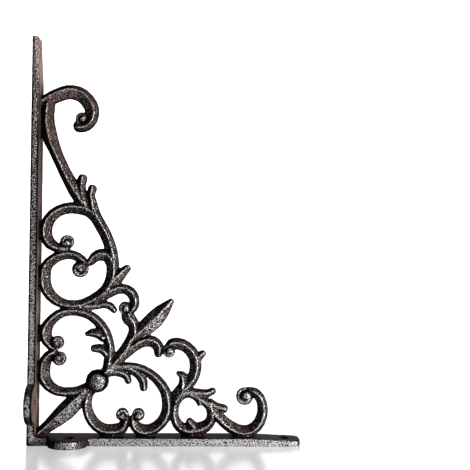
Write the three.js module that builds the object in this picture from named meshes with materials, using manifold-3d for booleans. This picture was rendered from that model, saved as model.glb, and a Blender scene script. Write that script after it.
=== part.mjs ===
// Ornate cast iron shelf bracket.
// A long wall strap and a shorter shelf strap meet at a square corner. The
// space between them is filled by one openwork casting of ridged scrolls,
// leaves, two spear-shaped leaves and a round boss, in one piece with the straps.
// Millimetres, +Z up. X runs along the shelf strap, away from the wall, and Y
// across the straps. The bracket stands on the shelf strap's outer face.

import * as THREE from 'three';
import { mergeVertices } from 'three/addons/utils/BufferGeometryUtils.js';
import Module from 'manifold-3d';

const wasm = await Module();
wasm.setup();

// Straps
const WALL_HEIGHT = 300;
const SHELF_LENGTH = 200;
const STRAP_WIDTH = 20;
const STRAP_THICKNESS = 5.6;
const WALL_END_THICKNESS = 3.8;
const WALL_END_BEVEL = 2.4;
const WALL_BEVEL_LENGTH = 145;
const SHELF_END_THICKNESS = 4;
const END_TAPER_LENGTH = 36;
const WALL_END_RADIUS = 1.5;
const SHELF_END_RADIUS = 5;
const INNER_CORNER_FILLET = 4;
const OUTER_CORNER_RADIUS = 1.2;

// Screw lugs on the straps' front edges, and the screw holes
const LUG_CENTRE = 30;
const LUG_LENGTH = 29;
const LUG_REACH = 13;
const SCREW_HOLE = 5;
const COUNTERSINK = 9;
const COUNTERSINK_DEPTH = 2.2;
const LUG_HOLE_INSET = 2;
const WALL_END_HOLE_INSET = 9;
const SHELF_END_HOLE_INSET = 12;
const CUT_OVERRUN = 1;

// Openwork: widths seen from the side, and half thicknesses across the straps
const SCROLL_WIDTH = 8;
const EDGE_HALF = 1.6;
const TIP_EDGE_HALF = 0.25;
const RIDGE_RISE = 0.42;
const RIDGE_MAX_HALF = 5;
const TIP_RIDGE_SHARE = 0.45;
const TIP_FADE_WIDTH = 7;
const FOOT_BASE_LENGTH = 15;
const FOOT_TOP_LENGTH = 8;
const FOOT_SINK = 1;
const BOSS_RIM_RADIUS = 8.6;
const BOSS_RADIUS = 6.4;
const BOSS_HALF = 6.4;

// A knob's profile, as shares of its radius and of half its height
const KNOB_PROFILE = [[0.5, 0.9], [0.85, 0.68], [1, 0.36]];

// The pattern below is drawn for this size of bracket. Its places are moved in
// proportion when the straps' length, height or thickness is changed.
const PATTERN = { length: 200, height: 300, strap: 5.6, width: 8 };

// Fineness
const STATION_LENGTH = 10;
const STATION_BEND = THREE.MathUtils.degToRad(27);
const BEND_SAMPLE_STEP = 1;
const KNOB_SIDES = 12;
const HOLE_SIDES = 16;
const ARC_STEPS = 6;
const MIN_STATIONS = 3;
const ROUND_END_ANGLES = [35, 65];

const CAST_IRON = new THREE.MeshStandardMaterial({
  name: 'antique cast iron',
  color: 0x4a4341,
  roughness: 0.6,
  metalness: 0.7,
});

// Solids and meshes

function toSolid(geometry) {
  const bare = geometry.clone();
  bare.deleteAttribute('normal');
  bare.deleteAttribute('uv');
  const merged = mergeVertices(bare, 1e-4);
  const mesh = new wasm.Mesh({
    numProp: 3,
    vertProperties: new Float32Array(merged.attributes.position.array),
    triVerts: new Uint32Array(merged.index.array),
  });
  return new wasm.Manifold(mesh);
}

function toGeometry(solid) {
  const mesh = solid.getMesh();
  const geometry = new THREE.BufferGeometry();
  geometry.setAttribute('position', new THREE.BufferAttribute(mesh.vertProperties, 3));
  geometry.setIndex(new THREE.BufferAttribute(mesh.triVerts, 1));
  geometry.computeVertexNormals();
  return geometry;
}

function joinAll(solids) {
  return solids.reduce((whole, solid) => whole.add(solid));
}

// A body swept from closed rings of equally many points, capped flat.
function loft(rings) {
  const count = rings[0].length;
  const points = rings.flat();
  const index = [];
  for (let r = 0; r + 1 < rings.length; r += 1) {
    for (let i = 0; i < count; i += 1) {
      const a = r * count + i;
      const b = r * count + ((i + 1) % count);
      index.push(a, b, a + count, b, b + count, a + count);
    }
  }
  const last = (rings.length - 1) * count;
  for (let i = 1; i + 1 < count; i += 1) {
    index.push(0, i + 1, i);
    index.push(last, last + i, last + i + 1);
  }
  const geometry = new THREE.BufferGeometry().setFromPoints(points);
  geometry.setIndex(index);
  return toSolid(geometry);
}

// Where a place of the pattern lies on this bracket.
function placeX(x) {
  const stretch = (SHELF_LENGTH - STRAP_THICKNESS) / (PATTERN.length - PATTERN.strap);
  return STRAP_THICKNESS + (x - PATTERN.strap) * stretch;
}

function placeZ(z) {
  const stretch = (WALL_HEIGHT - STRAP_THICKNESS) / (PATTERN.height - PATTERN.strap);
  return STRAP_THICKNESS + (z - PATTERN.strap) * stretch;
}

const widthOf = (width) => (width * SCROLL_WIDTH) / PATTERN.width;

const ridgeHalf = (width) => Math.min(RIDGE_MAX_HALF, EDGE_HALF + RIDGE_RISE * width);

// One ridged section across a member: thin edges, and a ridge between them that
// leans towards the left edge, seen along the member, by a share of the width.
function section(place, along, width, lean) {
  const across = new THREE.Vector3(-along.z, 0, along.x);
  const edge = Math.min(EDGE_HALF, TIP_EDGE_HALF + width / 2);
  const fade = Math.min(1, TIP_RIDGE_SHARE + width / TIP_FADE_WIDTH);
  const ridge = Math.max(edge, ridgeHalf(width) * fade);
  const point = (share, y) => place.clone().addScaledVector(across, share * width).setY(y);
  return [
    point(0.5, -edge),
    point(lean, -ridge),
    point(-0.5, -edge),
    point(-0.5, edge),
    point(lean, ridge),
    point(0.5, edge),
  ];
}

// The shares of a curve's length where it gets a section. They stand
// STATION_LENGTH apart at most, and closer together the more it bends.
function stationShares(curve) {
  const samples = Math.ceil(curve.getLength() / BEND_SAMPLE_STEP);
  const step = curve.getLength() / samples / STATION_LENGTH;
  const sections = [0];
  for (let i = 1; i <= samples; i += 1) {
    const bend = curve.getTangentAt((i - 1) / samples).angleTo(curve.getTangentAt(i / samples));
    sections.push(sections[i - 1] + step + bend / STATION_BEND);
  }
  const count = Math.max(MIN_STATIONS, Math.ceil(sections[samples]));
  const shares = [];
  let i = 0;
  for (let k = 0; k <= count; k += 1) {
    const goal = (sections[samples] * k) / count;
    while (i + 1 < samples && sections[i + 1] < goal) {
      i += 1;
    }
    const part = (goal - sections[i]) / (sections[i + 1] - sections[i]);
    shares.push(Math.min(1, (i + part) / samples));
  }
  return shares;
}

// A ridged member along a smooth line through knots of [x, z, width].
// Its first end is cut flat inside its neighbour, its last end is rounded.
function member(lean, knots) {
  const places = knots.map(([x, z]) => new THREE.Vector3(placeX(x), 0, placeZ(z)));
  const curve = new THREE.CatmullRomCurve3(places, false, 'centripetal');
  const spans = knots.length - 1;
  const rings = [];
  for (const share of stationShares(curve)) {
    const t = curve.getUtoTmapping(share);
    const from = Math.min(Math.floor(t * spans), spans - 1);
    const width = THREE.MathUtils.lerp(knots[from][2], knots[from + 1][2], t * spans - from);
    rings.push(section(curve.getPoint(t), curve.getTangent(t), widthOf(width), lean));
  }
  const endWidth = widthOf(knots[spans][2]);
  const endAlong = curve.getTangent(1);
  for (const angle of ROUND_END_ANGLES) {
    const turn = THREE.MathUtils.degToRad(angle);
    const reach = (Math.sin(turn) * endWidth) / 2;
    const place = places[spans].clone().addScaledVector(endAlong, reach);
    rings.push(section(place, endAlong, endWidth * Math.cos(turn), lean));
  }
  return loft(rings);
}

// A lens-shaped knob with its axis across the straps: a scroll's eye or the boss.
function knob(x, z, radius, half) {
  const rise = (side) => KNOB_PROFILE.map(([r, y]) => new THREE.Vector2(r * radius, side * y * half));
  const outline = [
    new THREE.Vector2(0, -half),
    ...rise(-1),
    ...rise(1).reverse(),
    new THREE.Vector2(0, half),
  ];
  const geometry = new THREE.LatheGeometry(outline, KNOB_SIDES);
  geometry.translate(placeX(x), 0, placeZ(z));
  return toSolid(geometry);
}

const eye = (x, z, radius) => knob(x, z, widthOf(radius), ridgeHalf(PATTERN.width));

// Straps

// The bracket's side outline: both straps, thinner towards their free ends.
function sideOutline() {
  const shape = new THREE.Shape();
  const inner = STRAP_THICKNESS;
  const fillet = INNER_CORNER_FILLET;
  shape.moveTo(OUTER_CORNER_RADIUS, 0);
  shape.lineTo(SHELF_LENGTH, 0);
  shape.lineTo(SHELF_LENGTH, SHELF_END_THICKNESS);
  shape.lineTo(SHELF_LENGTH - END_TAPER_LENGTH, inner);
  shape.lineTo(inner + fillet, inner);
  shape.absarc(inner + fillet, inner + fillet, fillet, -Math.PI / 2, -Math.PI, true);
  shape.lineTo(inner, WALL_HEIGHT - END_TAPER_LENGTH);
  shape.lineTo(WALL_END_THICKNESS, WALL_HEIGHT);
  shape.lineTo(0, WALL_HEIGHT);
  shape.lineTo(0, OUTER_CORNER_RADIUS);
  shape.absarc(OUTER_CORNER_RADIUS, OUTER_CORNER_RADIUS, OUTER_CORNER_RADIUS, Math.PI, 1.5 * Math.PI);
  return shape;
}

// A strap's plan outline, with the distance from the corner as its first value:
// a plain back edge, a lug on the front edge and rounded free corners.
function planOutline(length, corner) {
  const half = STRAP_WIDTH / 2;
  const shape = new THREE.Shape();
  shape.moveTo(0, -half);
  shape.lineTo(LUG_CENTRE - LUG_LENGTH / 2, -half);
  shape.absellipse(LUG_CENTRE, -half, LUG_LENGTH / 2, LUG_REACH, Math.PI, 2 * Math.PI, false, 0);
  shape.lineTo(length - corner, -half);
  shape.absarc(length - corner, -half + corner, corner, -Math.PI / 2, 0);
  shape.lineTo(length, half - corner);
  shape.absarc(length - corner, half - corner, corner, 0, Math.PI / 2);
  shape.lineTo(0, half);
  return shape;
}

function extrude(shape, depth) {
  return new THREE.ExtrudeGeometry(shape, {
    depth,
    bevelEnabled: false,
    curveSegments: ARC_STEPS,
  });
}

function strapBody() {
  const reach = STRAP_WIDTH / 2 + LUG_REACH;
  const side = extrude(sideOutline(), reach + STRAP_WIDTH);
  side.rotateX(Math.PI / 2);
  side.translate(0, STRAP_WIDTH, 0);

  const slab = STRAP_THICKNESS + INNER_CORNER_FILLET;
  const shelfPlan = extrude(planOutline(SHELF_LENGTH, SHELF_END_RADIUS), slab);

  // Turned so that the plan's length runs up and its thickness runs along X
  const wallPlan = extrude(planOutline(WALL_HEIGHT, WALL_END_RADIUS), slab);
  const turned = new THREE.Matrix4().makeBasis(
    new THREE.Vector3(0, 0, 1),
    new THREE.Vector3(0, 1, 0),
    new THREE.Vector3(-1, 0, 0),
  );
  wallPlan.applyMatrix4(turned);
  wallPlan.translate(slab, 0, 0);

  return toSolid(side)
    .intersect(toSolid(shelfPlan).add(toSolid(wallPlan)))
    .subtract(endBevel(-1))
    .subtract(endBevel(1));
}

// A cut that bevels one inner edge of the wall strap, growing towards its free
// end over the bevel's length. The side is -1 for the front edge and 1 for the
// back edge.
function endBevel(side) {
  const edge = STRAP_WIDTH / 2;
  const ring = (z, thickness, bevel) => {
    const corners = [
      [thickness - bevel - CUT_OVERRUN, edge + CUT_OVERRUN],
      [thickness + CUT_OVERRUN, edge + CUT_OVERRUN],
      [thickness + CUT_OVERRUN, edge - bevel - CUT_OVERRUN],
    ];
    const ordered = side < 0 ? corners : corners.reverse();
    return ordered.map(([x, y]) => new THREE.Vector3(x, side * y, z));
  };
  const taperBevel = WALL_END_BEVEL * (1 - END_TAPER_LENGTH / WALL_BEVEL_LENGTH);
  return loft([
    ring(WALL_HEIGHT - WALL_BEVEL_LENGTH, STRAP_THICKNESS, 0),
    ring(WALL_HEIGHT - END_TAPER_LENGTH, STRAP_THICKNESS, taperBevel),
    ring(WALL_HEIGHT, WALL_END_THICKNESS, WALL_END_BEVEL),
    ring(WALL_HEIGHT + CUT_OVERRUN, WALL_END_THICKNESS, WALL_END_BEVEL),
  ]);
}

// A countersunk screw hole along +Z from below, its head seat at the given height.
function screwCut(seat) {
  const r = SCREW_HOLE / 2;
  const head = COUNTERSINK / 2;
  const outline = [
    [0, -CUT_OVERRUN],
    [r, -CUT_OVERRUN],
    [r, seat - COUNTERSINK_DEPTH],
    [head, seat],
    [head, seat + STRAP_THICKNESS],
    [0, seat + STRAP_THICKNESS],
  ].map(([x, y]) => new THREE.Vector2(x, y));
  const geometry = new THREE.LatheGeometry(outline, HOLE_SIDES);
  geometry.rotateX(Math.PI / 2);
  return geometry;
}

function seatAt(fromEnd, endThickness) {
  const share = Math.min(1, fromEnd / END_TAPER_LENGTH);
  return endThickness + (STRAP_THICKNESS - endThickness) * share;
}

function screwCuts() {
  const lugY = -STRAP_WIDTH / 2 + LUG_HOLE_INSET;
  const shelfHoles = [
    [LUG_CENTRE, lugY, STRAP_THICKNESS],
    [
      SHELF_LENGTH - SHELF_END_HOLE_INSET,
      0,
      seatAt(SHELF_END_HOLE_INSET, SHELF_END_THICKNESS),
    ],
  ];
  const wallHoles = [
    [LUG_CENTRE, lugY, STRAP_THICKNESS],
    [
      WALL_HEIGHT - WALL_END_HOLE_INSET,
      0,
      seatAt(WALL_END_HOLE_INSET, WALL_END_THICKNESS),
    ],
  ];
  const cuts = [];
  for (const [along, y, seat] of shelfHoles) {
    cuts.push(screwCut(seat).translate(along, y, 0));
  }
  for (const [along, y, seat] of wallHoles) {
    cuts.push(screwCut(seat).rotateY(Math.PI / 2).translate(0, y, along));
  }
  return joinAll(cuts.map(toSolid));
}

// A foot that ties a scroll to a strap, seen from the side as a short taper.
function foot(x, z, onWall) {
  const deep = STRAP_THICKNESS - FOOT_SINK;
  const centre = onWall ? placeZ(z) : placeX(x);
  const top = onWall ? placeX(x) : placeZ(z);
  const rings = [
    [deep, FOOT_BASE_LENGTH / 2],
    [top, FOOT_TOP_LENGTH / 2],
  ].map(([level, half]) =>
    [
      [half, -EDGE_HALF],
      [-half, -EDGE_HALF],
      [-half, EDGE_HALF],
      [half, EDGE_HALF],
    ].map(([offset, y]) =>
      onWall
        ? new THREE.Vector3(level, y, centre + offset)
        : new THREE.Vector3(centre - offset, y, level),
    ),
  );
  return loft(rings);
}

// Openwork, from the top of the wall strap down and out along the shelf strap

function topHook() {
  return [
    member(0.17, [
      [5, 249.5, 9.5], [10.5, 254.2, 9.6], [17, 257.3, 10.2], [25.5, 260.2, 10.4],
      [33.6, 258.8, 10.8], [39.4, 254.3, 10.8], [42.9, 247.8, 10.8], [42.6, 240.8, 9.8],
      [38.6, 235.7, 9.2], [33.7, 234.8, 9.2],
    ]),
    eye(35.9, 240.2, 5),
    member(-0.06, [
      [12.6, 257, 7], [11, 250.5, 9.4], [10, 241, 10.2], [12.5, 225.5, 11.4], [15.6, 217.8, 9.4],
      [20.2, 207.6, 8.6], [25.2, 197.5, 9], [30.6, 188.3, 10.5], [36, 180, 10.5],
    ]),
  ];
}

function upperRing() {
  return [
    member(-0.12, [
      [47.5, 166.5, 8.5], [41.5, 171.6, 8.6], [34.5, 173.6, 8.7], [26.5, 173.8, 8.5],
      [18.8, 171.2, 8.2], [13.2, 166.2, 8.6], [10.4, 160, 9.4], [10.4, 153.2, 9.4],
      [13.3, 147.6, 8.8], [18.8, 144.4, 7], [25, 144, 5.8],
    ]),
    eye(26, 148.6, 5.3),
    foot(10.4, 157.5, true),
    member(0, [[41, 171, 9], [38, 179, 8], [36, 189.5, 5.8], [36.7, 195.7, 7.2]]),
  ];
}

function heart() {
  return [
    member(0.14, [
      [45, 173, 7.4], [47.2, 166.6, 9], [52.3, 158.2, 8.7],
      [56.5, 149.5, 8.6], [59, 140, 9.4], [60, 131, 9.6], [59.3, 122.5, 9],
      [55.8, 114.6, 8.4], [50.2, 109.2, 7.8], [43.5, 105.3, 7.2], [37, 102.8, 6.6],
      [30.5, 102.1, 6.6], [24.2, 102.8, 7.2], [17.9, 105.9, 8], [13, 110.8, 8.7],
      [10, 117.5, 9.2], [9.6, 124.5, 9.2], [11, 130.4, 8.4], [14.2, 134.3, 8],
      [20, 138, 7.5], [27, 139.4, 7], [33.2, 138, 6.8], [37.8, 134.2, 6.8], [39, 130, 6],
    ]),
    member(0, [[45, 172.5, 8.6], [44.3, 178, 6.6], [43.2, 183.5, 5.2], [44.1, 188.2, 6.8]]),
    eye(36, 128.6, 6.2),
    member(-0.14, [
      [59, 133, 8.5], [56, 138.2, 8.6], [50.8, 139.4, 9.4], [46.4, 137.4, 7.8], [43.6, 134, 6],
    ]),
    foot(9.8, 120.5, true),
    member(0.1, [[60, 118, 9], [64.3, 123, 8.8], [67.8, 127, 7.2], [70.5, 129.5, 5.8]]),
  ];
}

function sideScroll() {
  return [
    member(0.15, [
      [46, 104.5, 7.5], [52.5, 108.3, 7.6], [58.6, 111.8, 7.6], [64.3, 114.1, 7.4],
      [69.6, 114, 7.4], [73.9, 111.2, 7.6], [76.3, 106.4, 7.6], [75.8, 101.2, 7.2],
      [72.5, 98, 7],
    ]),
    eye(69.5, 100, 4.9),
    member(0.12, [
      [36, 99.8, 5], [43, 100.6, 5], [49, 101.1, 4.4], [54, 102.3, 5],
      [58.4, 101.4, 5.6], [61.4, 98.3, 4.6],
    ]),
    member(-0.15, [
      [57, 53, 6.5], [60.5, 57.5, 6.5], [64.9, 63.8, 6.7], [69.8, 70, 7.4], [73.6, 76.3, 7.6],
      [76.2, 83, 7.6], [75.6, 88.2, 8.6], [71.9, 93, 10.4], [70.6, 98, 8],
    ]),
  ];
}

function upperSpear() {
  return [
    member(0.03, [
      [73, 75, 8], [79, 80.5, 10], [85, 85.8, 12.6], [90.7, 91, 13.8],
      [95.5, 96.3, 12.4], [99.9, 101.2, 8.8], [103.4, 105, 4.8],
    ]),
  ];
}

function twinScrolls() {
  return [
    member(0.17, [
      [55, 51, 6], [59, 55.5, 6.2], [64.8, 60.7, 6.4], [71, 66.6, 7.2], [77.3, 72, 7.6],
      [84, 75.5, 8.4], [90.2, 75.2, 8.6], [94.2, 71.5, 8.2], [94.5, 66.6, 6.2],
    ]),
    member(-0.14, [
      [107, 31, 8], [109.9, 36.8, 9.8], [113.6, 41.2, 9.6], [117.6, 45, 9.2], [120.8, 50, 8.6],
      [122.3, 56, 8.8], [121.8, 62.2, 9], [119.2, 67.6, 8.8], [115, 71.6, 8.6],
      [110, 73.7, 8.8], [105, 73.6, 9], [101.5, 70.8, 6.4],
    ]),
    eye(102.5, 68, 4.5),
    member(0.1, [[113.4, 41, 8], [113.6, 46.5, 7.4], [112.6, 50.3, 6.2], [109.6, 52, 3.6]]),
    member(0, [[121.5, 60, 8], [124, 63.8, 7], [127.4, 66.7, 5]]),
  ];
}

function bigRings() {
  return [
    member(-0.12, [
      [54, 50, 6.5], [57, 56, 7.2], [58, 62, 7.8], [58.7, 68, 7.6], [57.7, 75, 7.2],
      [55.6, 81, 7.6], [52.5, 86.3, 7.6], [48.4, 90.9, 7.2], [43.2, 94.5, 6.8],
      [37, 96.6, 6.4], [30.5, 97.4, 6.4], [24, 96.5, 6.8], [18.6, 93.6, 7.2],
      [14, 89, 7.8], [11, 83, 9.8], [11.6, 77.6, 9.2], [14.8, 72.9, 7.8], [18.4, 70.6, 6.2],
    ]),
    eye(20, 74.2, 5),
    foot(11, 81, true),
    member(0.1, [[55, 77.5, 7], [50, 81, 7.4], [45.3, 81.7, 6.2], [41.7, 80.8, 3.4]]),
    member(0.1, [[57.5, 65.5, 7], [53.6, 69.2, 7], [50, 70.1, 6.6], [47.1, 70, 5.6]]),
    member(-0.12, [
      [19.2, 66.9, 6.4], [14.5, 64.8, 7.8], [11.2, 60, 9], [10, 54, 9.6],
      [10.5, 48.5, 9.6], [13.5, 43.2, 8.4], [18, 39.6, 7.6], [23.5, 37.9, 7],
      [29.5, 37.8, 6.6], [35.5, 38.8, 6.4], [42, 41.5, 6.5],
    ]),
    eye(21.6, 62.4, 5.2),
    foot(10, 53, true),
  ];
}

function lowerSpear() {
  return [
    member(0.13, [
      [7, 6.5, 8], [13.5, 12, 8.8], [19, 16.8, 11.2], [25.4, 22.4, 13.6],
      [31.3, 28.2, 14], [37.2, 34, 11.4], [42, 38.8, 8], [46, 43, 6],
    ]),
  ];
}

function boss() {
  return [
    knob(49.7, 46, widthOf(BOSS_RIM_RADIUS), RIDGE_MAX_HALF),
    knob(49.7, 45.6, widthOf(BOSS_RADIUS), BOSS_HALF),
    member(0, [[51, 47, 8], [55, 51.3, 9], [58, 55.5, 7.5]]),
  ];
}

function lowerRings() {
  return [
    member(0.15, [
      [53, 48, 5.5], [59.8, 54, 6], [67, 56.7, 5.8], [75, 56.7, 6], [82.5, 54.8, 6.4],
      [89.3, 51, 6.8], [95.2, 45.6, 7.2], [99.8, 38.8, 7.8], [101.6, 31, 8.2],
      [101.4, 24, 8.2], [99.2, 18, 8.5], [94.6, 12.9, 8.4], [88.6, 9.8, 8.8],
      [82.2, 10, 9], [78, 13.2, 8], [77, 18.6, 6],
    ]),
    eye(80.3, 21.4, 4.7),
    foot(87, 9.8, false),
    member(0.15, [
      [57, 51.5, 5], [62.5, 52.6, 5.8], [67.5, 51.8, 6.2], [71.3, 49.4, 5.6], [72.5, 46.2, 5],
    ]),
    member(0.15, [
      [66, 56, 5], [74, 54.6, 6], [80.4, 50.6, 6.6], [83.5, 45.6, 6.6], [84, 41.2, 5.8],
    ]),
    member(-0.13, [
      [48, 41, 5], [44, 36, 5.8], [42.4, 30.5, 6.8], [42.8, 24.5, 7.5], [45.2, 18.5, 8],
      [49.6, 13.2, 8.4], [55.6, 10, 8.8], [62.4, 9.8, 8.8], [68, 11.4, 9.2],
      [70.6, 16.3, 6.6], [70.8, 20, 5.4],
    ]),
    eye(68.4, 21.4, 4.7),
    foot(59, 10, false),
  ];
}

function outerRing() {
  return [
    member(-0.05, [
      [126.4, 28.4, 4.4], [124.6, 33, 6.2], [119.6, 36.8, 6.2], [113.6, 36.2, 6.2],
      [109, 31.8, 6], [107, 25.5, 5.8], [107.3, 18.4, 6.8], [110.4, 13, 7.8],
      [115.4, 10.2, 9], [121.6, 10, 9.6], [128, 11.6, 9.6], [132.9, 15.4, 7.8],
      [134.8, 21, 7.6], [133.6, 27, 7.6], [130.6, 31, 6],
    ]),
    foot(120, 10, false),
    member(0, [[123, 11, 8], [120, 14, 6.6], [118.3, 16.2, 5.4]]),
    member(0.1, [
      [110, 36, 6], [118, 38.1, 6.4], [126, 36.9, 6.6], [131.5, 37.2, 5.8], [135.2, 38.8, 5],
    ]),
    member(0.1, [[132, 30.5, 7], [138, 27, 6.6], [143.8, 25.8, 6]]),
  ];
}

function endHook() {
  return [
    member(-0.12, [
      [118, 37.2, 6], [126.5, 33.4, 6.4], [132.3, 28.6, 7], [137.3, 22.6, 7.6],
      [142.5, 17.3, 8], [148.6, 12.4, 8.8], [155.8, 9.3, 8.8], [162.8, 9.5, 9],
      [168.6, 13.7, 8.6], [171.8, 20, 8.1], [172.5, 26.8, 7.7], [170.9, 33.1, 7.4],
      [166.9, 37.7, 7], [162, 39.1, 5.9],
    ]),
    eye(159, 35.2, 6.5),
    foot(159, 9.3, false),
  ];
}

// The casting, moved from its corner to its place over the middle of its box

const casting = joinAll([
  strapBody(),
  ...topHook(),
  ...upperRing(),
  ...heart(),
  ...sideScroll(),
  ...upperSpear(),
  ...twinScrolls(),
  ...bigRings(),
  ...lowerSpear(),
  ...boss(),
  ...lowerRings(),
  ...outerRing(),
  ...endHook(),
]).subtract(screwCuts());

const bracket = new THREE.Mesh(toGeometry(casting), CAST_IRON);
bracket.name = 'bracket';
bracket.position.set(-SHELF_LENGTH / 2, LUG_REACH / 2, 0);

const model = new THREE.Group();
model.add(bracket);

export default model;
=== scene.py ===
"""Ornate cast iron shelf bracket: the finished casting, its floor, lights and camera.

Metres, +Z up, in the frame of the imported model: X runs along the shelf strap, away
from the wall, and -Y is the side that the screw lugs stand out on.
"""

import math

import bpy
import numpy as np
from mathutils import Matrix, Vector


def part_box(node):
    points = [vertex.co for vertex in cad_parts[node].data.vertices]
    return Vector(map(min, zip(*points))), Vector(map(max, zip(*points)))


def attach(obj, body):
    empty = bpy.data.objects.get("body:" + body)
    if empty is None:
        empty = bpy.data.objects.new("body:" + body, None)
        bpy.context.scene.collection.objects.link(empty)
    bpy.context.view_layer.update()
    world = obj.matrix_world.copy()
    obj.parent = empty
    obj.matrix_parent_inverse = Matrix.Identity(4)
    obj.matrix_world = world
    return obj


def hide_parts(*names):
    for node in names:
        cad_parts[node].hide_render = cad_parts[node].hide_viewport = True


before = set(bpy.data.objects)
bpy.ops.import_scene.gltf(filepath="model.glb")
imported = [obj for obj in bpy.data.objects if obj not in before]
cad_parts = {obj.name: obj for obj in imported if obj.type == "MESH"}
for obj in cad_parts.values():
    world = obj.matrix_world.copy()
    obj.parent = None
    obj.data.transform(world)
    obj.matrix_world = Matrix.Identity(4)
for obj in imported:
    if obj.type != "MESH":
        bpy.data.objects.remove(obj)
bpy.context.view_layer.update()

bl_info = {
    "name": "Ornate Cast Iron Shelf Bracket",
    "version": (1, 0, 0),
    "blender": (4, 5, 0),
    "location": "3D View > Sidebar > Bracket",
    "description": "Skins, weathers and lights an openwork cast iron shelf bracket",
    "category": "Object",
}

BODY = "root"
NODE = "bracket"
PIECE = "bracket_casting"

MM = 0.001

BOX_LOW, BOX_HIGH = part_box(NODE)
WALL_FACE = BOX_LOW.x
STRAP_HALF = 10 * MM
MIDDLE = BOX_HIGH.y - STRAP_HALF

# Scroll eyes, in millimetres from the wall face and the shelf face: across, up,
# radius, the angle of the notch where the scroll's inner edge meets its eye, and
# the way the scroll curls from there, 1 for anticlockwise seen from the front.
EYES = (
    (35.9, 240.2, 5.0, 50, -1),
    (26.0, 148.6, 5.3, 205, 1),
    (36.0, 128.6, 6.2, 140, -1),
    (69.5, 100.0, 4.9, 60, -1),
    (102.5, 68.0, 4.5, 25, 1),
    (20.0, 74.2, 5.0, 155, 1),
    (21.6, 62.4, 5.2, 205, -1),
    (80.3, 21.4, 4.7, 320, -1),
    (68.4, 21.4, 4.7, 220, 1),
    (159.0, 35.2, 6.5, 330, 1),
)
BOSS = (49.7, 45.6)

# The groove in an eye, in turns from its notch: where it winds in, starts and ends.
# Its last radius is to the eye's.
GROOVE_WINDS_IN = (-0.05, 0.85)
GROOVE_STARTS = (0, 0.06)
GROOVE_ENDS = (0.97, 0.8)
GROOVE_LAST_RADIUS = 0.38

# The line round the boss's face, and the pits on it, which reach this share of its
# radius. No point sinks further than the deepest.
LINE_WIDTH = 0.6 * MM
LINE_DEPTH = 0.7 * MM
PIT_SEED = 7
PIT_REACH = 0.9
PIT_WIDTHS = (0.55 * MM, 1.05 * MM)
PIT_DEPTH = 0.4 * MM
DEEPEST = 0.9 * MM

# How many steps the normals and the bend of the surface are evened out over
NORMAL_PASSES = 2
BEND_PASSES = 2
HOLLOW_PASSES = 4

# Where each trait of the finish begins and where it is full. Facing is how squarely a
# place looks to the front or the back, from 0 to 1. Bend is how sharply the surface
# turns there, for each millimetre, and is below 0 in a hollow.
FLAT_FACING = (0.82, 0.95)
STEEP_FACING = (0.8, 0.35)
CREST_FACING = (0.75, 0.95)
RIDGE_BEND = (0.2, 0.55)
EDGE_BEND = (0.15, 0.38)
HOLLOW_BEND = (-0.03, -0.3)
STRAP_DEPTH = (8 * MM, 5 * MM)
WALL_END_UP = (250 * MM, 275 * MM)
SHELF_END_ACROSS = (145 * MM, 175 * MM)
LOWER_UP = (170 * MM, 90 * MM)
UPPER_UP = (175 * MM, 225 * MM)
NEAR_WALL_ACROSS = (22 * MM, 11 * MM)
NEAR_SHELF_UP = (18 * MM, 9 * MM)

# The same for the boss, outwards from the edge of its face
BOSS_FACING = (0.3, 0.6)
BOSS_FACE = (0, -0.8 * MM)
BOSS_RIM_OUTSIDE = (2.8 * MM, 2 * MM)
BOSS_RIM_INSIDE = (0, -0.6 * MM)

# How far brushing bares each place, how far painted light lifts it, and how far black wax and
# painted shade take from that
CREST_LEAST = 0.2
RUB_AND_PAINTED_HIGHLIGHT_RIDGE = 0.46
RUB_FLAT = 0.2
LIFT_FLAT_SHELF = 0.26
PAINTED_LIGHT_FLAT_LOWER = 0.1
PAINTED_LIGHT_FLAT_LOWER_WALL = 0.14
PAINTED_LIGHT_LOWER_WALL_SIDES = 0.16
PAINTED_LIGHT_WALL_END = 0.2
RUB_BOSS_FACE = 0.25
PAINTED_SHADE_WALL_END_FRONT = 0.28
DARKEN_WALL_EDGE = 1.0
PAINTED_SHADE_NEAR_STRAPS = 0.08
WAX_BOSS_RIM = 0.5

# How far the steep faces are darkened, partly by wax and partly by painted shade, how
# much less so at the shelf strap's free end, and how brown each place is
PAINTED_SHADE_AND_WAX_STEEP = 0.8
SHELTER_AND_SHADE_LOST_SHELF_END = 0.7
BROWN_UPPER = 0.75
BROWN_NEAR_STRAPS = 0.4
BROWN_SHELF_END = 0.5
BROWN_WALL_END = 0.7

# What the casting's points carry for its material
WEAR = ("rubbed_and_lit", "sheltered_and_shaded", "flat", "browned")


def linear(hex_colour):
    """The linear colour of an sRGB hex value such as "8a8f94"."""
    values = [int(hex_colour[i : i + 2], 16) / 255 for i in (0, 2, 4)]
    return tuple(
        v / 12.92 if v <= 0.04045 else ((v + 0.055) / 1.055) ** 2.4 for v in values
    )


# Sizes and colours


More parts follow.
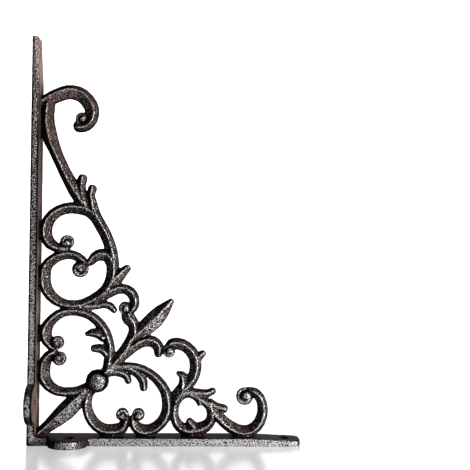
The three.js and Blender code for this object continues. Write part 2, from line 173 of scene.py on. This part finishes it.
class BracketSkinSettings(bpy.types.PropertyGroup):
    voxel: bpy.props.FloatProperty(
        name="Skin grain",
        description="Edge of the cells that the casting's skin is rebuilt from",
        default=0.55 * MM,
        min=0.3 * MM,
        unit="LENGTH",
        precision=5,
    )
    smoothing: bpy.props.IntProperty(
        name="Smoothing",
        description="Passes that round the edges and fillet the inner corners",
        default=2,
        min=0,
    )
    groove_depth: bpy.props.FloatProperty(
        name="Groove depth",
        description="Depth of the groove that winds into each scroll's eye, to its radius",
        default=0.3,
        min=0,
    )
    groove_width: bpy.props.FloatProperty(
        name="Groove width",
        description="Width of that groove, to the eye's radius",
        default=0.37,
        min=0.01,
    )
    boss_radius: bpy.props.FloatProperty(
        name="Boss face radius",
        description="Radius of the boss's pitted face",
        default=6.4 * MM,
        unit="LENGTH",
        precision=5,
    )
    pits: bpy.props.IntProperty(
        name="Pits",
        description="Pits on each face of the boss",
        default=34,
        min=0,
    )
    lump_size: bpy.props.FloatProperty(
        name="Lump size",
        description="Distance between the slow swells that a sand mould leaves",
        default=9 * MM,
        unit="LENGTH",
        precision=5,
    )
    lump_height: bpy.props.FloatProperty(
        name="Lump height",
        description="Height of those swells",
        default=0.35 * MM,
        unit="LENGTH",
        precision=5,
    )
    grit_size: bpy.props.FloatProperty(
        name="Grit size",
        description="Distance between the grains that the mould's sand leaves",
        default=1.3 * MM,
        unit="LENGTH",
        precision=5,
    )
    grit_height: bpy.props.FloatProperty(
        name="Grit height",
        description="Height of those grains in the mesh",
        default=0.22 * MM,
        unit="LENGTH",
        precision=5,
    )
    triangles: bpy.props.IntProperty(
        name="Triangles",
        description="Triangles in the finished casting",
        default=196000,
        min=20000,
        max=199000,
    )


class BracketIronSettings(bpy.types.PropertyGroup):
    hollow: bpy.props.FloatVectorProperty(
        name="Hollows",
        description="Colour of the black wax left in hollows and pits",
        subtype="COLOR",
        size=3,
        default=linear("080606"),
        min=0,
        max=1,
    )
    skin: bpy.props.FloatVectorProperty(
        name="Skin",
        description="Colour of the browned cast skin",
        subtype="COLOR",
        size=3,
        default=linear("514743"),
        min=0,
        max=1,
    )
    rust: bpy.props.FloatVectorProperty(
        name="Rust",
        description="Colour of the rust that tints sheltered places",
        subtype="COLOR",
        size=3,
        default=linear("5e4a42"),
        min=0,
        max=1,
    )
    rubbed_and_lit: bpy.props.FloatVectorProperty(
        name="Rubbed iron",
        description="Colour of the iron where ridges and grains are rubbed bare",
        subtype="COLOR",
        size=3,
        default=linear("cfd0d1"),
        min=0,
        max=1,
    )
    grit: bpy.props.FloatProperty(
        name="Speckle size",
        description="Distance between rubbed grains",
        default=0.84 * MM,
        unit="LENGTH",
        precision=5,
    )


class BracketStageSettings(bpy.types.PropertyGroup):
    floor: bpy.props.FloatVectorProperty(
        name="Floor",
        description="Colour of the floor",
        subtype="COLOR",
        size=3,
        default=linear("b8b8b8"),
        min=0,
        max=1,
    )
    floor_glow: bpy.props.FloatProperty(
        name="Floor glow",
        description="Light that the floor is lit with from below, as a light table is",
        default=0.45,
        min=0,
    )
    floor_bounce: bpy.props.FloatProperty(
        name="Floor bounce",
        description="The part of that light that reaches the iron",
        default=0.56,
        min=0,
    )
    backdrop: bpy.props.FloatProperty(
        name="Backdrop",
        description="Brightness of the backdrop behind the bracket",
        default=1.3,
        min=0,
    )
    room: bpy.props.FloatProperty(
        name="Room light",
        description="Brightness of the rest of the room, that the iron reflects",
        default=0.012,
        min=0,
    )
    key: bpy.props.FloatProperty(
        name="Key light",
        description="Power of the soft light at the right",
        default=33.0,
        min=0,
        unit="POWER",
    )
    fill: bpy.props.FloatProperty(
        name="Fill light",
        description="Power of the soft light in front",
        default=0.5,
        min=0,
        unit="POWER",
    )
    lens: bpy.props.FloatProperty(
        name="Lens",
        description="Focal length in millimetres on a 36 mm sensor",
        default=65.3,
        min=1,
    )


# Tools for shaping


def only(obj):
    """Makes an object the only one that operators act on."""
    if bpy.context.object and bpy.context.object.mode != "OBJECT":
        bpy.ops.object.mode_set(mode="OBJECT")
    bpy.ops.object.select_all(action="DESELECT")
    obj.select_set(True)
    bpy.context.view_layer.objects.active = obj


def apply_modifier(obj, kind, **settings):
    """Adds a modifier with its settings and applies it."""
    only(obj)
    modifier = obj.modifiers.new(kind.lower(), kind)
    for name, value in settings.items():
        setattr(modifier, name, value)
    bpy.ops.object.modifier_apply(modifier=modifier.name)


def grain_texture(name, size):
    """A soft noise for displacement, with its swells a given distance apart."""
    texture = bpy.data.textures.new(name, "CLOUDS")
    texture.noise_scale = size
    texture.noise_depth = 1
    texture.noise_basis = "ORIGINAL_PERLIN"
    return texture


def triangle_count(obj):
    return sum(len(face.vertices) - 2 for face in obj.data.polygons)


def spread(values, edges, passes):
    """Evens values out over a mesh, a step along its edges each pass."""
    a, b = edges.T
    share = np.bincount(edges.ravel(), minlength=len(values)) + 1.0
    for _ in range(passes):
        total = values.copy()
        total += np.bincount(a, values[b], len(values))
        total += np.bincount(b, values[a], len(values))
        values = total / share
    return values


def smoothstep(values, begins, full):
    """0 where values begin and 1 where they are full, with a soft rise between."""
    t = np.clip((values - begins) / (full - begins), 0, 1)
    return t * t * (3 - 2 * t)


def read_points(obj):
    """The places and normals of a mesh's points, as arrays of three columns."""
    place = np.empty(len(obj.data.vertices) * 3)
    obj.data.vertices.foreach_get("co", place)
    normal = np.empty(len(place))
    obj.data.vertices.foreach_get("normal", normal)
    return place.reshape(-1, 3), normal.reshape(-1, 3)


def read_edges(obj):
    """The two points of each of a mesh's edges."""
    edges = np.empty(len(obj.data.edges) * 2, dtype=int)
    obj.data.edges.foreach_get("vertices", edges)
    return edges.reshape(-1, 2)


def write_points(obj, place):
    obj.data.vertices.foreach_set("co", place.ravel())
    obj.data.update()


def polar(place, across, up):
    """The distance and angle of points about a centre, seen from the front."""
    east = place[:, 0] - WALL_FACE - across * MM
    north = place[:, 2] - up * MM
    return np.hypot(east, north), np.arctan2(north, east)


def wind_eyes(obj, skin):
    """Sinks a groove that winds into each scroll's eye, on both faces."""
    place, _ = read_points(obj)
    side = np.sign(place[:, 1] - MIDDLE)
    for across, up, radius, notch, way in EYES:
        reach, angle = polar(place, across, up)
        size = radius * MM
        travelled = (way * (angle - math.radians(notch))) % math.tau
        turn = travelled / math.tau
        path = size * (1 - (1 - GROOVE_LAST_RADIUS) * smoothstep(turn, *GROOVE_WINDS_IN))
        fade = smoothstep(turn, *GROOVE_STARTS) * smoothstep(turn, *GROOVE_ENDS)
        dip = np.exp(-(((reach - path) / (size * skin.groove_width / 2)) ** 2))
        place[:, 1] -= side * size * skin.groove_depth * dip * fade * (reach < size)
    write_points(obj, place)


def pit_boss(obj, skin):
    """Pits the boss's faces and sinks a line round them."""
    place, _ = read_points(obj)
    side = np.sign(place[:, 1] - MIDDLE)
    reach, _ = polar(place, *BOSS)
    sink = LINE_DEPTH * np.exp(-(((reach - skin.boss_radius) / LINE_WIDTH) ** 2))
    draw = np.random.default_rng(PIT_SEED)
    narrow, wide = PIT_WIDTHS
    for _ in range(skin.pits):
        distance = skin.boss_radius * PIT_REACH * math.sqrt(draw.random())
        heading = math.tau * draw.random()
        width = narrow + (wide - narrow) * draw.random()
        across = BOSS[0] + distance * math.cos(heading) / MM
        up = BOSS[1] + distance * math.sin(heading) / MM
        near, _ = polar(place, across, up)
        sink += PIT_DEPTH * np.exp(-((near / width) ** 2))
    place[:, 1] -= side * np.minimum(sink, DEEPEST)
    write_points(obj, place)


def bend_of(place, normal, edges):
    """How sharply the surface turns at each point, for each millimetre."""
    a, b = edges.T
    count = len(place)
    along = place[b] - place[a]
    turn = ((normal[b] - normal[a]) * along).sum(1) / (along**2).sum(1)
    bend = np.bincount(a, turn, count) + np.bincount(b, turn, count)
    share = np.bincount(edges.ravel(), minlength=count)
    return spread(bend / share, edges, BEND_PASSES) * MM


def store_wear(obj, skin):
    """Keeps on each point how worn and lit, how waxed and shaded, how flat and how browned it
    is.

    Brushing reaches the two broad sides and the ridges, with a painted highlight on the
    crests. Wax and rust stay in the hollows between the scrolls, and the faces that look
    into the openwork carry wax, rust and painted shade. Painted light lifts the low flat
    faces and the wall strap's free end, painted shade darkens that end's front and the
    scrolls near the straps, and the wall strap's edges are darkened.
    """
    place, normal = read_points(obj)
    edges = read_edges(obj)
    broad = np.stack([spread(normal[:, k], edges, NORMAL_PASSES) for k in range(3)], axis=1)
    broad /= np.linalg.norm(broad, axis=1, keepdims=True)
    bend = bend_of(place, broad, edges)
    facing = np.abs(broad[:, 1])
    across = place[:, 0] - WALL_FACE
    up = place[:, 2]

    flat = smoothstep(facing, *FLAT_FACING)
    steep = smoothstep(facing, *STEEP_FACING)
    crest = CREST_LEAST + (1 - CREST_LEAST) * smoothstep(facing, *CREST_FACING)
    ridge = crest * smoothstep(bend, *RIDGE_BEND)
    hollow = smoothstep(spread(bend, edges, HOLLOW_PASSES), *HOLLOW_BEND)

    on_shelf = smoothstep(up, *STRAP_DEPTH)
    on_wall = smoothstep(across, *STRAP_DEPTH)
    on_strap = np.maximum(on_shelf, on_wall)
    wall_end = on_wall * smoothstep(up, *WALL_END_UP)
    shelf_end = on_shelf * smoothstep(across, *SHELF_END_ACROSS)
    # The wall strap's rounded edges below its free end, which are darkened into a dark line
    wall_edge = on_wall * (1 - wall_end) * smoothstep(bend, *EDGE_BEND)
    lower = smoothstep(up, *LOWER_UP)
    upper = smoothstep(up, *UPPER_UP) * (1 - on_wall)
    # Scrolls close to the straps, darkened with painted shade and browned
    near = np.maximum(smoothstep(across, *NEAR_WALL_ACROSS), smoothstep(up, *NEAR_SHELF_UP))
    near *= 1 - on_strap

    # Rubbed wear along the ridges, with a painted highlight on the crests
    rubbed_and_lit = RUB_AND_PAINTED_HIGHLIGHT_RIDGE * ridge * (1 - on_strap)
    # The shelf strap's flat faces are made lighter still
    rubbed_and_lit += (RUB_FLAT + LIFT_FLAT_SHELF * on_shelf) * flat
    # Painted light: the flat faces and the wall strap's sides get lighter towards the bottom
    rubbed_and_lit += (PAINTED_LIGHT_FLAT_LOWER + PAINTED_LIGHT_FLAT_LOWER_WALL * on_wall) * lower * (1 - on_shelf) * flat
    rubbed_and_lit += PAINTED_LIGHT_LOWER_WALL_SIDES * on_wall * lower * steep
    # Painted light on the wall strap's free end, and painted shade on that end's front face
    rubbed_and_lit += (PAINTED_LIGHT_WALL_END - PAINTED_SHADE_WALL_END_FRONT * flat) * wall_end
    rubbed_and_lit -= DARKEN_WALL_EDGE * wall_edge + PAINTED_SHADE_NEAR_STRAPS * near
    # Wax in the hollows, and painted shade with wax and rust on the steep faces that look into
    # the openwork
    sheltered_and_shaded = np.clip(hollow + PAINTED_SHADE_AND_WAX_STEEP * steep, 0, 1)
    sheltered_and_shaded *= (1 - on_wall) * (1 - SHELTER_AND_SHADE_LOST_SHELF_END * shelf_end)
    browned = np.maximum.reduce(
        (
            BROWN_UPPER * upper,
            BROWN_NEAR_STRAPS * near,
            BROWN_SHELF_END * shelf_end * steep,
            on_wall * np.maximum(steep, BROWN_WALL_END * wall_end),
        )
    )

    beyond = polar(place, *BOSS)[0] - skin.boss_radius
    face = smoothstep(beyond, *BOSS_FACE) * smoothstep(facing, *BOSS_FACING)
    rim = smoothstep(beyond, *BOSS_RIM_OUTSIDE) - smoothstep(beyond, *BOSS_RIM_INSIDE)
    rubbed_and_lit = rubbed_and_lit * (1 - rim) * (1 - face) + RUB_BOSS_FACE * face - WAX_BOSS_RIM * rim
    sheltered_and_shaded *= (1 - face) * (1 - rim)
    for name, values in zip(WEAR, (rubbed_and_lit, sheltered_and_shaded, flat, browned)):
        layer = obj.data.attributes.new(name, "FLOAT", "POINT")
        layer.data.foreach_set("value", values.astype(np.float32))


# The casting


# Points closer than this are one
SAME_PLACE = 0.01 * MM
SMOOTH_FACTOR = 0.5


class BRACKET_OT_casting(bpy.types.Operator):
    """Skin the casting: fillets, soft edges and the lumps and grit of a sand mould"""

    bl_idname = "bracket.casting"
    bl_label = "Casting"

    def execute(self, context):
        skin = context.scene.bracket_skin
        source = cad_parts[NODE]
        piece = bpy.data.objects.new(PIECE, source.data.copy())
        context.scene.collection.objects.link(piece)
        piece.data.name = PIECE
        piece.data.materials.clear()
        only(piece)
        bpy.ops.object.mode_set(mode="EDIT")
        bpy.ops.mesh.select_all(action="SELECT")
        bpy.ops.mesh.remove_doubles(threshold=SAME_PLACE)
        bpy.ops.object.mode_set(mode="OBJECT")

        voxel = skin.voxel * 1
        apply_modifier(piece, "REMESH", mode="VOXEL", voxel_size=voxel, adaptivity=0)
        apply_modifier(piece, "SMOOTH", factor=SMOOTH_FACTOR, iterations=skin.smoothing)
        wind_eyes(piece, skin)
        pit_boss(piece, skin)
        store_wear(piece, skin)
        for name, size, height in (
            ("mould lumps", skin.lump_size, skin.lump_height),
            ("sand grit", skin.grit_size, skin.grit_height),
        ):
            apply_modifier(
                piece,
                "DISPLACE",
                texture=grain_texture(name, size),
                texture_coords="LOCAL",
                strength=height,
                mid_level=0.5,
            )
        share = skin.triangles / triangle_count(piece)
        if share < 1:
            apply_modifier(piece, "DECIMATE", ratio=share)
        only(piece)
        bpy.ops.object.shade_smooth()
        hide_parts(NODE)
        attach(piece, BODY)
        return {"FINISHED"}


# The iron


# Distance between the patches that rust comes and goes in
RUST_PATCH = 14 * MM
# The speckle's contrast on flat faces and where the iron is browned
FLAT_CONTRAST = 2.0
BROWNED_CONTRAST = 0.45
# How far brushing and painted light lift the speckle, and how far wax and painted shade drop it
RUBBED_AND_LIT_LIFT = 0.45
SHELTERED_AND_SHADED_DROP = 0.24
# Where the speckle, about 0.5, shows brown skin through the wax and bare iron through
# the skin, and where patches in the hollows and on the steep faces turn to rust: begins
# and full
SKIN_SHOWS = (0.4, 0.64)
IRON_SHOWS = (0.61, 0.76)
RUST_SHOWS = (0.14, 0.4)
# Rust in the black wax, to that in the skin
WAX_RUST = 0.1
# From skin to bare iron
ROUGHNESS = (0.65, 0.56)
METALLIC = (0.05, 0.5)
# From wax to skin
GLOSS = (0.05, 0.32)
# Height of the grains that are too fine for the mesh, and how much of it shows
GRAIN_HEIGHT = 0.2 * MM
GRAIN_STRENGTH = 0.8


def add(tree, kind, settings=None, **links):
    """Adds a node. Settings are its own properties, links are sockets or values.

    A link named i0 is input 0. Inputs 6 and 7 and output 2 of a Mix are its colours.
    """
    node = tree.nodes.new(kind)
    for name, value in (settings or {}).items():
        setattr(node, name, value)
    for name, value in links.items():
        key = int(name[1:]) if name[0] == "i" and name[1:].isdigit() else name.replace("_", " ")
        if isinstance(value, bpy.types.NodeSocket):
            tree.links.new(value, node.inputs[key])
        else:
            node.inputs[key].default_value = value
    return node


def antique_iron(iron):
    """Sand-cast iron, blacked with wax and brushed back."""
    material = bpy.data.materials.new("sand cast iron, waxed black and rubbed back")
    material.use_nodes = True
    tree = material.node_tree
    tree.nodes.clear()
    place = add(tree, "ShaderNodeTexCoord").outputs["Object"]
    rubbed_and_lit, sheltered_and_shaded, flat, browned = (
        add(tree, "ShaderNodeAttribute", {"attribute_name": name}).outputs["Fac"]
        for name in WEAR
    )

    # Noise scales are waves per metre. Moulding sand leaves grains of about 0.3 mm, which
    # are too fine to show, so they are drawn coarser.
    grains = add(
        tree, "ShaderNodeTexNoise", Vector=place, Scale=1 / iron.grit, Detail=1.5, Roughness=0.6
    ).outputs["Fac"]
    patches = add(
        tree, "ShaderNodeTexNoise", Vector=place, Scale=1 / RUST_PATCH, Detail=3.0, Roughness=0.6
    ).outputs["Fac"]

    # The speckle: stronger on flat faces, calmer where browned
    contrast = add(
        tree, "ShaderNodeMapRange", Value=flat, To_Min=1.0, To_Max=FLAT_CONTRAST
    ).outputs[0]
    calm = add(
        tree, "ShaderNodeMapRange", Value=browned, To_Min=1.0, To_Max=BROWNED_CONTRAST
    ).outputs[0]
    contrast = add(
        tree, "ShaderNodeMath", {"operation": "MULTIPLY"}, i0=contrast, i1=calm
    ).outputs[0]
    centred = add(
        tree, "ShaderNodeMath", {"operation": "SUBTRACT"}, i0=grains, i1=0.5
    ).outputs[0]
    speckle = add(
        tree, "ShaderNodeMath", {"operation": "MULTIPLY_ADD"}, i0=centred, i1=contrast, i2=0.5
    ).outputs[0]
    for wear, lift in ((rubbed_and_lit, RUBBED_AND_LIT_LIFT), (sheltered_and_shaded, -SHELTERED_AND_SHADED_DROP)):
        speckle = add(
            tree, "ShaderNodeMath", {"operation": "MULTIPLY_ADD"}, i0=wear, i1=lift, i2=speckle
        ).outputs[0]

    # How far brown skin, bare iron and rust show. Bare iron also stands for the painted
    # highlights and light, and black wax for the painted shade.
    damp = add(
        tree, "ShaderNodeMath", {"operation": "MULTIPLY"}, i0=sheltered_and_shaded, i1=patches
    ).outputs[0]
    skin, bare, rust = (
        add(
            tree,
            "ShaderNodeMapRange",
            {"interpolation_type": "SMOOTHSTEP"},
            Value=value,
            From_Min=begins,
            From_Max=full,
        ).outputs[0]
        for value, (begins, full) in (
            (speckle, SKIN_SHOWS),
            (speckle, IRON_SHOWS),
            (damp, RUST_SHOWS),
        )
    )
    rust = add(tree, "ShaderNodeMath", {"operation": "MAXIMUM"}, i0=rust, i1=browned).outputs[0]
    stain = add(tree, "ShaderNodeMapRange", Value=rust, To_Min=0.0, To_Max=WAX_RUST).outputs[0]

    brown = add(
        tree,
        "ShaderNodeMix",
        {"data_type": "RGBA"},
        Factor=rust,
        i6=(*iron.skin, 1),
        i7=(*iron.rust, 1),
    ).outputs[2]
    wax = add(
        tree,
        "ShaderNodeMix",
        {"data_type": "RGBA"},
        Factor=stain,
        i6=(*iron.hollow, 1),
        i7=(*iron.rust, 1),
    ).outputs[2]
    waxed = add(
        tree, "ShaderNodeMix", {"data_type": "RGBA"}, Factor=skin, i6=wax, i7=brown
    ).outputs[2]
    colour = add(
        tree, "ShaderNodeMix", {"data_type": "RGBA"}, Factor=bare, i6=waxed, i7=(*iron.rubbed_and_lit, 1)
    ).outputs[2]
    roughness, metallic, gloss = (
        add(tree, "ShaderNodeMapRange", Value=share, To_Min=least, To_Max=most).outputs[0]
        for share, (least, most) in ((bare, ROUGHNESS), (bare, METALLIC), (skin, GLOSS))
    )
    bump = add(
        tree, "ShaderNodeBump", Height=grains, Distance=GRAIN_HEIGHT, Strength=GRAIN_STRENGTH
    ).outputs[0]
    shader = add(
        tree,
        "ShaderNodeBsdfPrincipled",
        Base_Color=colour,
        Metallic=metallic,
        Specular_IOR_Level=gloss,
        Roughness=roughness,
        Normal=bump,
    )
    out = add(tree, "ShaderNodeOutputMaterial")
    tree.links.new(shader.outputs[0], out.inputs["Surface"])
    # To the eye: black wax and brown skin between grains that glint grey, so a flat face
    # looks like salt and pepper, with a soft grey line along each ridge, part wear and part
    # painted highlight, painted shade on the steep faces and by the straps, and painted
    # light low down and on the wall strap's free end.
    return material


class BRACKET_OT_iron(bpy.types.Operator):
    """Give the casting its antique iron finish"""

    bl_idname = "bracket.iron"
    bl_label = "Iron finish"

    def execute(self, context):
        piece = bpy.data.objects[PIECE]
        piece.data.materials.clear()
        piece.data.materials.append(antique_iron(context.scene.bracket_iron))
        return {"FINISHED"}


# The stage


CAMERA_PLACE = (25.8 * MM, -630.6 * MM, 141.4 * MM)
CAMERA_TURN = (-2.227, 1.238, -0.599)
SENSOR_WIDTH = 36
NEAREST_SEEN = 0.01
LIGHT_AIM = (0, 0, 0.12)
KEY_PLACE = (1.0, -0.33, 0.12)
KEY_SIZE = 0.4
FILL_PLACE = (0.1, -1.3, 0.42)
FILL_SIZE = 0.8
FLOOR_SIZE = 12
FLOOR_CLOUD = 0.4
FLOOR_ROUGHNESS = (0.16, 0.22)
ACRYLIC_IOR = 2.0
# Where along X the floor's light on the iron begins and is full, and its least share
BOUNCE_PLACES = (-0.2, 0.08)
BOUNCE_LEAST = 0.06
# How squarely a direction points at the backdrop where it begins and is full, and the
# share of the backdrop's brightness that the camera sees in the rest of the room
BACKDROP_HEADING = (0.55, 0.8)
ROOM_SEEN = 0.35


def camera_matrix():
    """The camera's place and turn: yaw about Z, pitch about X and roll about Y."""
    yaw, pitch, roll = (math.radians(angle) for angle in CAMERA_TURN)
    turn = Matrix.Rotation(yaw, 4, "Z") @ Matrix.Rotation(pitch, 4, "X")
    turn = turn @ Matrix.Rotation(roll, 4, "Y")
    upright = Matrix.Rotation(math.radians(90), 4, "X")
    return Matrix.Translation(CAMERA_PLACE) @ turn @ upright


def soft_light(name, place, size, power):
    """A square soft light that shines from a place at the bracket's middle."""
    bpy.ops.object.light_add(type="AREA", location=place)
    light = bpy.context.object
    light.name = name
    light.data.shape = "SQUARE"
    light.data.size = size
    light.data.energy = power
    direction = Vector(LIGHT_AIM) - Vector(place)
    light.rotation_euler = direction.to_track_quat("-Z", "Y").to_euler()
    return light


def gloss_floor(stage):
    """White gloss acrylic, lit from below."""
    material = bpy.data.materials.new("white gloss acrylic")
    material.use_nodes = True
    tree = material.node_tree
    tree.nodes.clear()
    place = add(tree, "ShaderNodeTexCoord").outputs["Object"]
    cloud = add(
        tree, "ShaderNodeTexNoise", Vector=place, Scale=1 / FLOOR_CLOUD, Detail=1.0
    ).outputs["Fac"]
    smooth, dull = FLOOR_ROUGHNESS
    roughness = add(
        tree, "ShaderNodeMapRange", Value=cloud, To_Min=smooth, To_Max=dull
    ).outputs[0]
    seen = add(tree, "ShaderNodeLightPath").outputs["Is Camera Ray"]
    east = add(tree, "ShaderNodeSeparateXYZ", Vector=place).outputs["X"]
    bounce = add(
        tree,
        "ShaderNodeMapRange",
        {"interpolation_type": "SMOOTHSTEP"},
        Value=east,
        From_Min=BOUNCE_PLACES[0],
        From_Max=BOUNCE_PLACES[1],
        To_Min=BOUNCE_LEAST * stage.floor_bounce,
        To_Max=stage.floor_bounce,
    ).outputs[0]
    glow = add(
        tree, "ShaderNodeMapRange", Value=seen, To_Min=bounce, To_Max=stage.floor_glow
    ).outputs[0]
    shader = add(
        tree,
        "ShaderNodeBsdfPrincipled",
        Base_Color=(*stage.floor, 1),
        Roughness=roughness,
        IOR=ACRYLIC_IOR,
        Emission_Color=(1, 1, 1, 1),
        Emission_Strength=glow,
    )
    out = add(tree, "ShaderNodeOutputMaterial")
    tree.links.new(shader.outputs[0], out.inputs["Surface"])
    # To the eye: near white, with a faint mirror image that blurs as it goes down.
    return material


def studio_world(stage):
    """A white backdrop behind the bracket, and a dim room in front of it."""
    world = bpy.data.worlds.new("studio")
    world.use_nodes = True
    tree = world.node_tree
    tree.nodes.clear()
    seen = add(tree, "ShaderNodeLightPath").outputs["Is Camera Ray"]
    seen = add(
        tree, "ShaderNodeMath", {"operation": "MULTIPLY"}, i0=seen, i1=ROOM_SEEN
    ).outputs[0]
    heading = add(tree, "ShaderNodeTexCoord").outputs["Generated"]
    depth = add(tree, "ShaderNodeSeparateXYZ", Vector=heading).outputs["Y"]
    begins, full = BACKDROP_HEADING
    behind = add(
        tree, "ShaderNodeMapRange", Value=depth, From_Min=begins, From_Max=full
    ).outputs[0]
    share = add(tree, "ShaderNodeMath", {"operation": "MAXIMUM"}, i0=seen, i1=behind).outputs[0]
    strength = add(
        tree, "ShaderNodeMapRange", Value=share, To_Min=stage.room, To_Max=stage.backdrop
    ).outputs[0]
    shade = add(tree, "ShaderNodeBackground", Color=(1, 1, 1, 1), Strength=strength)
    out = add(tree, "ShaderNodeOutputWorld")
    tree.links.new(shade.outputs[0], out.inputs["Surface"])
    return world


class BRACKET_OT_stage(bpy.types.Operator):
    """Set up the floor, the soft lights and the camera"""

    bl_idname = "bracket.stage"
    bl_label = "Stage"

    def execute(self, context):
        stage = context.scene.bracket_stage
        bpy.ops.object.select_all(action="DESELECT")
        bpy.ops.mesh.primitive_plane_add(size=FLOOR_SIZE, location=(0, 0, 0))
        floor = context.object
        floor.name = "floor"
        floor.data.materials.append(gloss_floor(stage))

        lit = bpy.data.collections.new("lit by the soft lights")
        lit.objects.link(bpy.data.objects[PIECE])
        for name, place, size, power in (
            ("key", KEY_PLACE, KEY_SIZE, stage.key),
            ("fill", FILL_PLACE, FILL_SIZE, stage.fill),
        ):
            light = soft_light(name, place, size, power)
            light.light_linking.receiver_collection = lit
        context.scene.world = studio_world(stage)
        context.scene.view_settings.view_transform = "Standard"
        context.scene.view_settings.look = "Medium High Contrast"

        bpy.ops.object.camera_add()
        camera = context.object
        camera.name = "camera"
        camera.data.lens = stage.lens
        camera.data.sensor_width = SENSOR_WIDTH
        camera.data.clip_start = NEAREST_SEEN
        camera.matrix_world = camera_matrix()
        context.scene.camera = camera
        return {"FINISHED"}


class BRACKET_PT_panel(bpy.types.Panel):
    """Lists the bracket's operators, each with its settings"""

    bl_label = "Bracket"
    bl_idname = "BRACKET_PT_panel"
    bl_space_type = "VIEW_3D"
    bl_region_type = "UI"
    bl_category = "Bracket"

    def draw(self, context):
        scene = context.scene
        for operator, group in (
            (BRACKET_OT_casting, scene.bracket_skin),
            (BRACKET_OT_iron, scene.bracket_iron),
            (BRACKET_OT_stage, scene.bracket_stage),
        ):
            box = self.layout.box()
            box.operator(operator.bl_idname)
            for name in group.__annotations__:
                box.prop(group, name)


GROUPS = {
    "bracket_skin": BracketSkinSettings,
    "bracket_iron": BracketIronSettings,
    "bracket_stage": BracketStageSettings,
}
CLASSES = (
    *GROUPS.values(),
    BRACKET_OT_casting,
    BRACKET_OT_iron,
    BRACKET_OT_stage,
    BRACKET_PT_panel,
)


def register():
    for cls in CLASSES:
        bpy.utils.register_class(cls)
    for name, group in GROUPS.items():
        setattr(bpy.types.Scene, name, bpy.props.PointerProperty(type=group))


def unregister():
    for name in GROUPS:
        delattr(bpy.types.Scene, name)
    for cls in reversed(CLASSES):
        bpy.utils.unregister_class(cls)


def main():
    register()
    bpy.ops.bracket.casting()
    bpy.ops.bracket.iron()
    bpy.ops.bracket.stage()


if __name__ == "__main__":
    main()
